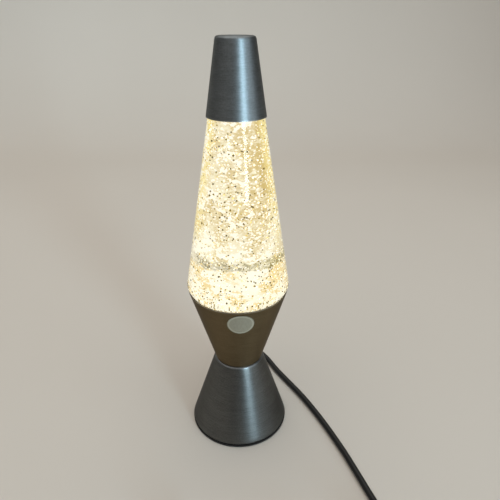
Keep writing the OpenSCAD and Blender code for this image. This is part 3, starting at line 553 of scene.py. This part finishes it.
# Switch on the cord: two black moulded halves held by two screws from below, with a rocker in the upper
# one. The halves have rounded edges and meet in a fine groove.
# Brass contact blocks inside take the cord's cores.
def softened(name, node, body, bends):
    """Copy of a moulded piece with some of its edges rounded. Each bend is a test of an edge's two ends,
    a width and a number of steps."""
    piece = bpy.data.objects.new(name, nodes[node].data.copy())
    piece.data.name = name
    bpy.context.scene.collection.objects.link(piece)
    choose(piece)
    bpy.ops.object.mode_set(mode="EDIT")
    bpy.ops.mesh.select_mode(type="EDGE")
    bpy.ops.mesh.select_all(action="SELECT")
    bpy.ops.mesh.remove_doubles(threshold=0.005 * mm)
    bpy.ops.mesh.dissolve_limited(angle_limit=math.radians(1))
    for wanted, width, steps in bends:
        bpy.ops.mesh.select_all(action="DESELECT")
        bpy.ops.object.mode_set(mode="OBJECT")
        for edge in piece.data.edges:
            edge.select = wanted(*(piece.data.vertices[i].co for i in edge.vertices))
        bpy.ops.object.mode_set(mode="EDIT")
        bpy.ops.mesh.bevel(offset=width, segments=steps, affect="EDGES")
    bpy.ops.object.mode_set(mode="OBJECT")
    smooth(piece)
    apply(piece, "WEIGHTED_NORMAL", keep_sharp=True)
    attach(piece, body)
    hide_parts(node)
    return piece


case_low, case_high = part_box("switch_case_bottom")
case_mid = (case_low + case_high) / 2
case_half = (case_high - case_low) / 2
case_corner_r = 6 * mm
case_bend = 1.2 * mm
split_z = case_high[2]
split_bend = 0.3 * mm
switch_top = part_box("switch_case_top")[1][2]
level_slip = 0.01 * mm
outline_slip = 0.06 * mm


def off_case(p):
    """How far a point lies outside the switch's outline, seen from above."""
    past_x = abs(p.x - case_mid.x) - case_half.x + case_corner_r
    past_y = abs(p.y - case_mid.y) - case_half.y + case_corner_r
    return math.hypot(max(past_x, 0), max(past_y, 0)) + min(max(past_x, past_y), 0) - case_corner_r


def round_case(height):
    """Test for an edge that runs along the switch's outline at a height."""
    def on_rim(p):
        return abs(p.z - height) < level_slip and abs(off_case(p)) < outline_slip

    def wanted(a, b):
        return all(on_rim(p) for p in (a, b, (a + b) / 2))

    return wanted


switch_pieces = [
    softened(
        "switch_bottom_moulded", "switch_case_bottom", "base",
        [(round_case(0), case_bend, 3), (round_case(split_z), split_bend, 1)],
    ),
    softened(
        "switch_top_moulded", "switch_case_top", "base",
        [(round_case(switch_top), case_bend, 3), (round_case(split_z), split_bend, 1)],
    ),
]
rocker_half = 6 * mm
rocker_bend = 0.5 * mm


def on_rocker_side(a, b):
    """Test for an edge on the rocker's left or right side."""
    return all(abs(abs(p.x - case_mid.x) - rocker_half) < level_slip for p in (a, b, (a + b) / 2))


rocker = softened(
    "switch_rocker_moulded", "switch_rocker", "rocker", [(on_rocker_side, rocker_bend, 3)]
)
for piece in switch_pieces:
    put_on(piece, black_plastic)
put_on(rocker, moulded("rocker_plastic", "111112", "2c2c2e", roughness=0.3, grain=0.5 * mm))
brass = small_metal("brass", "9c7a33", "d8b765", roughness=0.3)
put_on(nodes["switch_contacts"], brass)


# Plug: a flat two-pin plug, moulded on to the cord in black plastic round nickel-plated brass pins.
# It ends the cord.
plug_bend = 2 * mm
plug_levels = [corner[2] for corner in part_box("plug_body")]


def on_plug_rim(a, b):
    """Test for an edge that lies in the plug's lower or upper face."""
    return any(abs(a.z - z) < level_slip and abs(b.z - z) < level_slip for z in plug_levels)


plug = softened("plug_moulded", "plug_body", "base", [(on_plug_rim, plug_bend, 4)])
put_on(plug, black_plastic)
nickel = small_metal("nickel", "a9abad", "dcdde0", roughness=0.22)
put_on(nodes["plug_pins"], nickel)


# Lampholder: cream moulded plastic with a threaded skirt, clamped through both cones by a black ring nut.
# It carries a brass screw shell, a sprung centre contact and two terminals, with a wire to each.
# The wires hang slack between the gland and the holder.
put_on(nodes["lamp_socket"], moulded("holder_plastic", "d9d0bb", "efe8d8", roughness=0.45, grain=0.6 * mm))
put_on(nodes["socket_ring_nut"], black_plastic)
for name in ("socket_shell", "socket_contact", "socket_terminals"):
    put_on(nodes[name], brass)
gland_depth = 6 * mm
wall_r = base_r - (cord_exit.z - z_base) * (base_r - waist_r) / (z_waist - z_base)
gland_back = outward * (wall_r - gland_depth) + Vector((0, 0, cord_exit.z))
across = Vector((-outward.y, outward.x, 0))
up = Vector((0, 0, 1))
z_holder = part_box("lamp_socket")[0][2]
wire_r = 1.2 * mm
wire_aside = across * 1.7 * mm
terminal_x = 6.6 * mm
slack = [(0, 0, 0), (0, 6, 0), (0.28, 5, 4), (0.65, 3, 7), (1, 0, 9), (1, 0, 4), (1, 0, 0)]
insulations = [(1, "wire_brown", "4a2c18", "6b4526"), (-1, "wire_blue", "1f3a63", "35598f")]
leads = []
for side, name, colour, worn in insulations:
    start = gland_back - side * wire_aside
    end = Vector((side * terminal_x, 0, z_holder))
    line = [
        start.lerp(end, share) - inward * mm * outward - down * mm * up for share, inward, down in slack
    ]
    lead = laid(name, line, wire_r)
    bpy.ops.object.convert(target="MESH")
    put_on(lead, moulded(name, colour, worn, roughness=0.45, grain=0.5 * mm))
    leads.append(lead)
for lead in leads:
    lead.select_set(True)
bpy.ops.object.join()
inner_leads = bpy.context.object
inner_leads.name = inner_leads.data.name = "inner_leads_pair"
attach(inner_leads, "base")
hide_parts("inner_leads")


# Globe cup: the second spun aluminium cone, widening upwards to a rim that holds the glass globe.
# It is clamped to the base cone at the waist. Its brown tone is a painted reflection of a wooden
# table, and its brushing is faint.
cup_r = 45.6 * mm
cup_foot_r = waist_r - 1 * mm
cup_foot_bend = 1.5 * mm
rim_slope = 0.3 * mm
z_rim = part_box("globe_cup")[1][2]
z_cup = z_waist + 0.02 * mm
cup_outline = [(flange_r, z_cup), (cup_foot_r, z_cup, cup_foot_bend), (cup_r, z_rim - rim_slope)]
globe_cup = spun("globe_cup_spun", cup_outline, sheet_t)
# The brown tone is a painted reflection of a wooden table.
put_on(globe_cup, spun_metal("spun_cup", "635741", "7d6e56", roughness=0.42, edge_z=z_rim))
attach(globe_cup, "base")
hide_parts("globe_cup")


# Label: a thin round disc of satin foil, stuck on the front of the cup and left bare.
# It is the CAD disc; a paler rim is pressed into it near its edge.
label_r = 11.8 * mm
label_mid = [(a + b) / 2 for a, b in zip(*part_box("label_disc"))]
label_foil = Finish("label_foil", Metallic=0.2, Specular_IOR_Level=0.4)
label_out = label_foil.away_from(label_mid) / label_r
label_rim = label_out.step(0.84, 0.87) - label_out.step(0.955, 0.975)
label_grain = label_foil.noise(1.2 * mm, detail=3, stretch=(1, 1, 0.3))
label_ground = label_grain.blend(tone("8e8877"), tone("a69f8c"))
label_foil.feed(Base_Color=(0.7 * label_rim).blend(label_ground, tone("b7b09b")))
label_foil.feed(Roughness=0.45 + 0.15 * label_grain)
label_foil.bump(label_rim, depth=0.05 * mm, strength=0.5)
put_on(nodes["label_disc"], label_foil)


# Bulb: a small round screw bulb in the lampholder, with a nickel screw cap, a black insulator and a
# solder tip. Its glass is lightly frosted and glows.
# Inside are a glass stem, two support wires and the filament.
put_on(nodes["bulb_screw_cap"], nickel)
put_on(nodes["bulb_insulator"], moulded("bulb_black", "101114", "24262b", roughness=0.25, grain=0.6 * mm))
put_on(nodes["bulb_contact"], small_metal("solder", "8d9195", "bfc3c7", roughness=0.4))
frosted = Finish("bulb_frosted", Roughness=0.35, Emission_Strength=1.6)
frost = frosted.noise(5 * mm)
frosted.feed(Base_Color=frost.blend(tone("f4ead2"), tone("fff6e2")))
frosted.feed(Emission_Color=frost.blend(tone("ffdf9e"), tone("fff1cf")))
put_on(nodes["bulb_glass"], frosted)
put_on(nodes["bulb_stem"], frosted)
put_on(nodes["bulb_filament"], small_metal("filament_wire", "77777b", "a5a5aa", roughness=0.4))


# Glass globe: a tapered bottle, blown in a mould, with a rounded shoulder just over the cup's rim.
# Its lower part sits in the cup with a little room all round, so that it lifts out.
# Its neck goes up under the cap and ends in a bead for the crown.
glass_t = 2.5 * mm
lift_gap = 0.35 * mm
globe_low, globe_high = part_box("glass_globe")
z_globe = globe_low[2]
z_mouth = globe_high[2]
cup_lean = math.atan((cup_r - cup_foot_r) / (z_rim - z_waist))
seat_r = cup_r - (sheet_t + lift_gap) / math.cos(cup_lean)
z_seat = z_rim - 0.6 * mm
heel_r = seat_r - (z_rim - z_globe) * math.tan(cup_lean)
shoulder_r = 46.8 * mm
z_shoulder = z_rim + 4.6 * mm
grip_r = 22.73 * mm
z_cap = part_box("top_cap")[0][2]
throat_r = 21.21 * mm
z_throat = z_cap + 10 * mm
neck_r = 11.5 * mm
z_neck = z_cap + 24 * mm
bead_r = 13.3 * mm
z_bead = z_mouth - 5 * mm
z_under_bead = z_mouth - 6.2 * mm
mouth_r = neck_r - 2.1 * mm
glass_outline = [
    (0, z_globe), (heel_r, z_globe, 7 * mm), (seat_r, z_seat, 6 * mm), (shoulder_r, z_shoulder, 6 * mm),
    (grip_r, z_cap, 20 * mm), (throat_r, z_throat, 8 * mm), (neck_r, z_neck, 5 * mm), (neck_r, z_under_bead),
    (bead_r, z_bead, 0.6 * mm), (bead_r, z_mouth, 1 * mm), (mouth_r, z_mouth),
]
glass = spun("glass_globe_blown", glass_outline, glass_t)
clear_glass = Finish(
    "globe_glass", Transmission_Weight=1.0, IOR=1.46, Roughness=0.0, Specular_Tint=(0.07, 0.07, 0.07, 1)
)
ripple = clear_glass.noise(30 * mm)
clear_glass.feed(Base_Color=ripple.blend(tone("fffdf4"), tone("fffaea")))
clear_glass.bump(ripple, depth=0.4 * mm, strength=0.15)
put_on(glass, clear_glass)
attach(glass, "globe")
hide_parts("glass_globe")


# Liquid: clear, with a warm yellow tinge, lit from below by the bulb so that it glows.
# Its outer part is clear; its heart, where glitter hangs thick in the light, is a shell that glows
# white and straw: painted light in place of the bulb's light on the liquid and glitter.
# A cloudy ring marks where the rising and falling currents meet.
def moved_in(path, d):
    """Outline moved towards the lamp's axis by d, with bends to match."""
    points = []
    for i, corner in enumerate(path):
        p = Vector(corner[:2])
        before = (p - Vector(path[max(i - 1, 0)][:2])).normalized()
        after = (Vector(path[min(i + 1, len(path) - 1)][:2]) - p).normalized()
        before, after = before or after, after or before
        left = Vector((-before.y - after.y, before.x + after.x))
        shift = left * d / (1 + before.dot(after))
        bend = before.x * after.y - before.y * after.x
        extra = tuple(max(c - math.copysign(d, bend), 0.2 * mm) for c in corner[2:])
        points.append(tuple(p + shift) + extra)
    return points


def glass_side(depth, share=1):
    """The glass's side from its heel to its neck, this deep inside its outer face and a share as wide."""
    below_bead = 8
    outline = stepped(rounded(moved_in(glass_outline[:below_bead], depth)), 3 * mm)
    return [(r * share, z) for r, z in outline if r * share > 1 * mm]


def filled(name, side_line, floor, top):
    """A filling within a side line, between two heights."""
    wetted = [p for p in side_line if floor - pole <= p[1] < top]
    meniscus_r = wetted[-1][0] - 0.2 * mm
    piece = turned(name, [(0, floor)] + wetted + [(meniscus_r, top), (0, top)])
    smooth(piece)
    return piece


z_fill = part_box("globe_liquid")[1][2]
liquid_in = glass_t - 0.1 * mm
liquid = filled("liquid_filling", glass_side(liquid_in), z_globe + liquid_in, z_fill)
clear_liquid = Finish("clear_liquid", Transmission_Weight=1.0, IOR=1.36, Roughness=0.0)
haze = clear_liquid.noise(24 * mm)
clear_liquid.feed(Base_Color=haze.blend(tone("fffefa"), tone("fffdf5")))
clear_liquid.tint(tone("fff8cc"), density=12)
put_on(liquid, clear_liquid)
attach(liquid, "globe")
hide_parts("globe_liquid")

heart_share = 0.77
heart = filled("liquid_lit_heart", glass_side(0, heart_share), z_globe + 4 * mm, z_fill - 3 * mm)
z_ring = 189 * mm
ring_half = 4.5 * mm
ring_tilt = 0.1
ring_wave = 12 * mm
right_at = 20 * mm
spark_apart = 2.6 * mm
clump_at = (-1 * mm, -32 * mm, z_rim + 6 * mm)


def lit_liquid(name):
    """Painted glow of the liquid's heart, in place of the bulb's light. Each colour in turn is laid
    over those before it, in patches that come from noise of several sizes and from the place on the heart."""
    black = (0, 0, 0, 1)
    glow = Finish(name, Base_Color=black, Roughness=1.0, Specular_IOR_Level=0.0, Emission_Strength=1.12)
    x, y, z = glow.axes()
    swirl = glow.noise(24 * mm, detail=3, stretch=(1, 1, 0.8))
    patches = glow.noise(15 * mm, detail=3, stretch=(1, 1, 1.4), rough=0.6)
    sheets = glow.noise(7 * mm, detail=3, stretch=(1, 1, 2), rough=0.55)
    crumbs = glow.noise(2.8 * mm, stretch=(1, 1, 1.6))
    bloom = glow.noise(26 * mm, detail=1)
    waves = glow.noise(9 * mm, detail=4, stretch=(1, 1, 1.5), rough=0.65)
    wavy_z = z + ring_tilt * y + ring_wave * (waves - 0.5)
    under = 1 - wavy_z.step(z_ring - 4 * mm, z_ring - 1 * mm)
    off_ring = (wavy_z - z_ring) / ring_half
    ring = 1 - (off_ring * off_ring).step(0.3, 1.4)
    rise = (z - z_ring) / (z_cap - z_ring)
    rightward = (x / right_at).step(-0.2, 1)

    # Over the ring: milky white, straw on the right, and yellow along both flanks as a painted edge glow.
    more_straw = 0.02 + (0.05 + 0.07 * x / right_at) * rise
    straw_patch = (0.45 * swirl + 0.33 * sheets + 0.22 * crumbs + more_straw).step(0.46, 0.57)
    straw = (rightward * rise.step(0.2, 0.6)).blend(tone("dacaa2"), tone("cfb97f"))
    colour = straw_patch.blend(tone("f1ecd9"), straw)
    # The flanks' yellow is a painted edge glow, fixed to the lamp's left and right sides.
    flank = x / (heart_share * (shoulder_r + (grip_r - shoulder_r) * rise))
    painted_edge_glow = (flank * flank).step(0.56, 0.95) * rise.step(0.05, 0.3)
    colour = painted_edge_glow.blend(colour, tone("f3e4a6"))

    # Under the ring, close over the bulb: whiter, as painted light from the bulb, with peach towards the
    # sides.
    colour = (under * 0.9).blend(colour, tone("fffdf6"))
    aside = (x * x).step((10 * mm) ** 2, (32 * mm) ** 2)
    peach_patch = under * (patches + 0.32 * aside).step(0.48, 0.67)
    colour = peach_patch.blend(colour, tone("eedcae"))

    # The ring: grey, and darker in its crumbs.
    broken = ring * (0.35 + 0.65 * (patches + 0.25 * rightward).step(0.35, 0.55))
    cloudy = rightward.blend(tone("cac5b2"), tone("c2b98d"))
    shaded = rightward.blend(tone("9c967f"), tone("968a5c"))
    colour = (broken * crumbs.step(0.3, 0.5)).blend(colour, cloudy)
    colour = (broken * crumbs.step(0.5, 0.56)).blend(colour, shaded)

    # Drifts of flakes and single sparks, painted white as glints where they catch the light, and a clump
    # that lies at the front of the floor.
    drift = 0.7 * sheets + 0.3 * crumbs + 0.55 * (bloom - 0.5) + 0.025 - 0.04 * rise
    drift = drift.step(0.52, 0.57) * (1 - 0.7 * broken)
    colour = drift.blend(colour, tone("fffef8"))
    # Single sparks: painted white glints.
    cells = {"Vector": glow.stretched((1, 1, 1.6)), "Scale": 1 / spark_apart}
    off_spark = glow.wire.node("TexVoronoi", {}, cells, "Distance")
    spark_draw = Wire(glow.tree, off_spark.socket.node.outputs["Color"])
    spark = (1 - off_spark.step(0.26, 0.42)) * spark_draw.step(0.48, 0.56)
    colour = spark.blend(colour, tone("ffffff"))
    off_clump = glow.away_from(clump_at) + 4 * mm * (crumbs - 0.5)
    clump = (1 - off_clump.step(2.2 * mm, 3.6 * mm)) * 0.8
    glow.feed(Emission_Color=clump.blend(colour, tone("e0a868")))
    return glow


# The heart's glow is painted light, standing in for the bulb lighting the liquid.
put_on(heart, lit_liquid("liquid_glow"))
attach(heart, "globe")


# Glitter: thin six-sided flakes of metallised film that drift in the liquid, in loose flocks.
# They glow with painted light: each is given at random a brightness from dark through gold to white,
# standing in for how it catches the bulb's light.
flake_count = 4600
flake_r = (0.5, 0.95)
flake_t = 0.05 * mm
flake_tilt = 1.0
flock_size = 12
flock_tall = 7 * mm
flock_wide = 0.3
z_lowest = z_rim - 14 * mm
z_flocks = z_rim - 12 * mm
flocks_tall = z_cap + 4 * mm - z_rim
flakes_mesh = bpy.data.meshes.new("glitter_drifting")
flakes = bpy.data.objects.new("glitter_drifting", flakes_mesh)
bpy.context.scene.collection.objects.link(flakes)
flake_shapes = bmesh.new()
shade_layer = flake_shapes.verts.layers.float.new("shade")
inner_side = glass_side(glass_t)


def inside_r(height):
    """Radius inside the glass at a height."""
    for (r0, z0), (r1, z1) in zip(inner_side, inner_side[1:]):
        if z0 <= height <= z1 and z1 > z0:
            return r0 + (r1 - r0) * (height - z0) / (z1 - z0)
    return inner_side[-1][0]


draw = random.Random(7)
for k in range(flake_count):
    if k % flock_size == 0:
        flock_z = z_flocks + flocks_tall * draw.random() ** 1.7
        flock_around = draw.uniform(0, 2 * math.pi)
    flake_z = max(flock_z + draw.gauss(0, flock_tall), z_lowest)
    around = flock_around + draw.gauss(0, flock_wide)
    nearest = (inside_r(flake_z) + glass_t) * heart_share + 0.7 * mm
    farthest = inside_r(flake_z) - 1 * mm
    r = draw.uniform(nearest, farthest)
    tip = Matrix.Rotation(draw.uniform(-flake_tilt, flake_tilt), 4, "X")
    tip = tip @ Matrix.Rotation(draw.uniform(-flake_tilt, flake_tilt), 4, "Y")
    facing = Matrix.Rotation(around, 4, "Z") @ Matrix.Rotation(math.pi / 2, 4, "Y")
    place = Matrix.Translation((r * math.cos(around), r * math.sin(around), flake_z))
    made = bmesh.ops.create_circle(
        flake_shapes, cap_ends=True, segments=6, radius=draw.uniform(*flake_r) * mm,
        matrix=place @ facing @ tip,
    )
    # The flake's brightness, drawn at random, is painted light, not set by which way it faces.
    shade = draw.random()
    for v in made["verts"]:
        v[shade_layer] = shade
flake_shapes.to_mesh(flakes_mesh)
flake_shapes.free()
apply(flakes, "SOLIDIFY", thickness=flake_t, offset=0)
# The film glows with that painted brightness.
film = Finish("glitter_film", Roughness=0.35, Specular_IOR_Level=0.2, Emission_Strength=1.0)
film_tones = [
    (0.0, tone("4a4020")), (0.25, tone("7a6934")), (0.36, tone("ab9656")), (0.46, tone("e2cb8a")),
    (0.54, tone("fff8e2")), (1.0, tone("ffffff")),
]
film_shade = film.wire.node("Attribute", {"attribute_name": "shade"}, {}, "Fac")
film_colour = film.wire.node("ValToRGB", {"stops": film_tones}, {"Fac": film_shade})
film.feed(Base_Color=film_colour, Emission_Color=film_colour)
put_on(flakes, film)
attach(flakes, "globe")
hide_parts("glitter_flakes")


# Crown: tinplate with a gold lacquer, crimped over the bead of the bottle's mouth on a soft liner.
# Both are the CAD pieces; the cap hides them until it is lifted.
put_on(nodes["crown_liner"], moulded("liner_plastic", "cfcabb", "e4e0d4", roughness=0.5, grain=0.6 * mm))
put_on(nodes["crown_cap"], small_metal("crown_tinplate", "97814f", "cdb98a", roughness=0.3))


# Top cap: spun from thinner aluminium sheet, closed at the top with a rounded edge.
# It rests loose over the bottle's neck, and its lower edge is rubbed by lifting it.
cap_t = 1 * mm
cap_top_r = 15.3 * mm
cap_bend = 2.4 * mm
cap_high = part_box("top_cap")[1]
cap_r = cap_high[0]
z_top = cap_high[2]
top_cap = spun("top_cap_spun", [(cap_r, z_cap), (cap_top_r, z_top, cap_bend), (0, z_top)], cap_t)
# The cap's grey is darker than bare aluminium, partly a painted reflection of a dim room.
put_on(top_cap, spun_metal("spun_cap", "6f7475", "8e9395", roughness=0.46, edge_z=z_cap))
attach(top_cap, "cap")
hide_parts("top_cap")


# Studio: a plain pale floor that sweeps up into a backdrop, with a wide soft light overhead.
# A tall window light to the right of the camera draws the bright line down the metal.
# A dim light on the right, and dim light all round, lift the shadows.
floor_paint = Finish("studio_paint", Roughness=0.8, Specular_IOR_Level=0.2)
floor_paint.feed(Base_Color=floor_paint.noise(0.6).blend(tone("cfc8be"), tone("d6cfc5")))
floor_half = 3.0
floor_z = -0.05 * mm
sweep_r = 0.7
sweep_start = 1.0
sweep_steps = 24
wall_top = 3.0
bpy.ops.object.select_all(action="DESELECT")
bpy.ops.mesh.primitive_plane_add(size=2 * floor_half, location=(0, sweep_start - floor_half, floor_z))
sweep = bpy.context.object
sweep.name = "studio_sweep"
bpy.ops.object.transform_apply(location=True)
pick(sweep, lambda p: p.y > 0)
for k in range(1, sweep_steps + 1):
    a0 = math.pi / 2 * (k - 1) / sweep_steps
    a1 = math.pi / 2 * k / sweep_steps
    step = (0, sweep_r * (math.sin(a1) - math.sin(a0)), sweep_r * (math.cos(a0) - math.cos(a1)))
    bpy.ops.mesh.extrude_edges_move(TRANSFORM_OT_translate={"value": step})
bpy.ops.mesh.extrude_edges_move(TRANSFORM_OT_translate={"value": (0, 0, wall_top - sweep_r)})
bpy.ops.object.mode_set(mode="OBJECT")
smooth(sweep)
put_on(sweep, floor_paint)

world = bpy.data.worlds.new("studio")
bpy.context.scene.world = world
world.use_nodes = True
world.node_tree.nodes["Background"].inputs["Color"].default_value = tone("c9c9cb")
world.node_tree.nodes["Background"].inputs["Strength"].default_value = 0.16


def soft_light(name, place, aim, size, power, colour, beam=180):
    """Rectangular light at a place, turned to a point, that shines within a beam of this angle."""
    light = bpy.data.lights.new(name, "AREA")
    light.shape = "RECTANGLE"
    light.size, light.size_y = size
    light.energy = power
    light.color = colour
    light.spread = math.radians(beam)
    lamp = bpy.data.objects.new(name, light)
    lamp.location = place
    lamp.rotation_euler = (Vector(aim) - Vector(place)).to_track_quat("-Z", "Y").to_euler()
    bpy.context.scene.collection.objects.link(lamp)


window_turn = math.radians(31)
window_far = 3.0
soft_light(
    "window", place=(window_far * math.sin(window_turn), -window_far * math.cos(window_turn), 0.82),
    aim=(0, 0, 0.5), size=(0.6, 1.5), power=7.2, colour=(0.61, 0.85, 1.0), beam=60,
)
soft_light(
    "side", place=(1.5, -0.75, 0.6), aim=(0, 0, 0.2), size=(1.0, 1.2), power=4.5, colour=(0.78, 0.91, 1.0)
)
soft_light(
    "overhead", place=(-0.3, 0.0, 2.1), aim=(-0.3, 0, 0), size=(3.4, 3.4), power=46, colour=(1.0, 0.97, 0.93)
)

bpy.context.scene.view_settings.view_transform = "Standard"
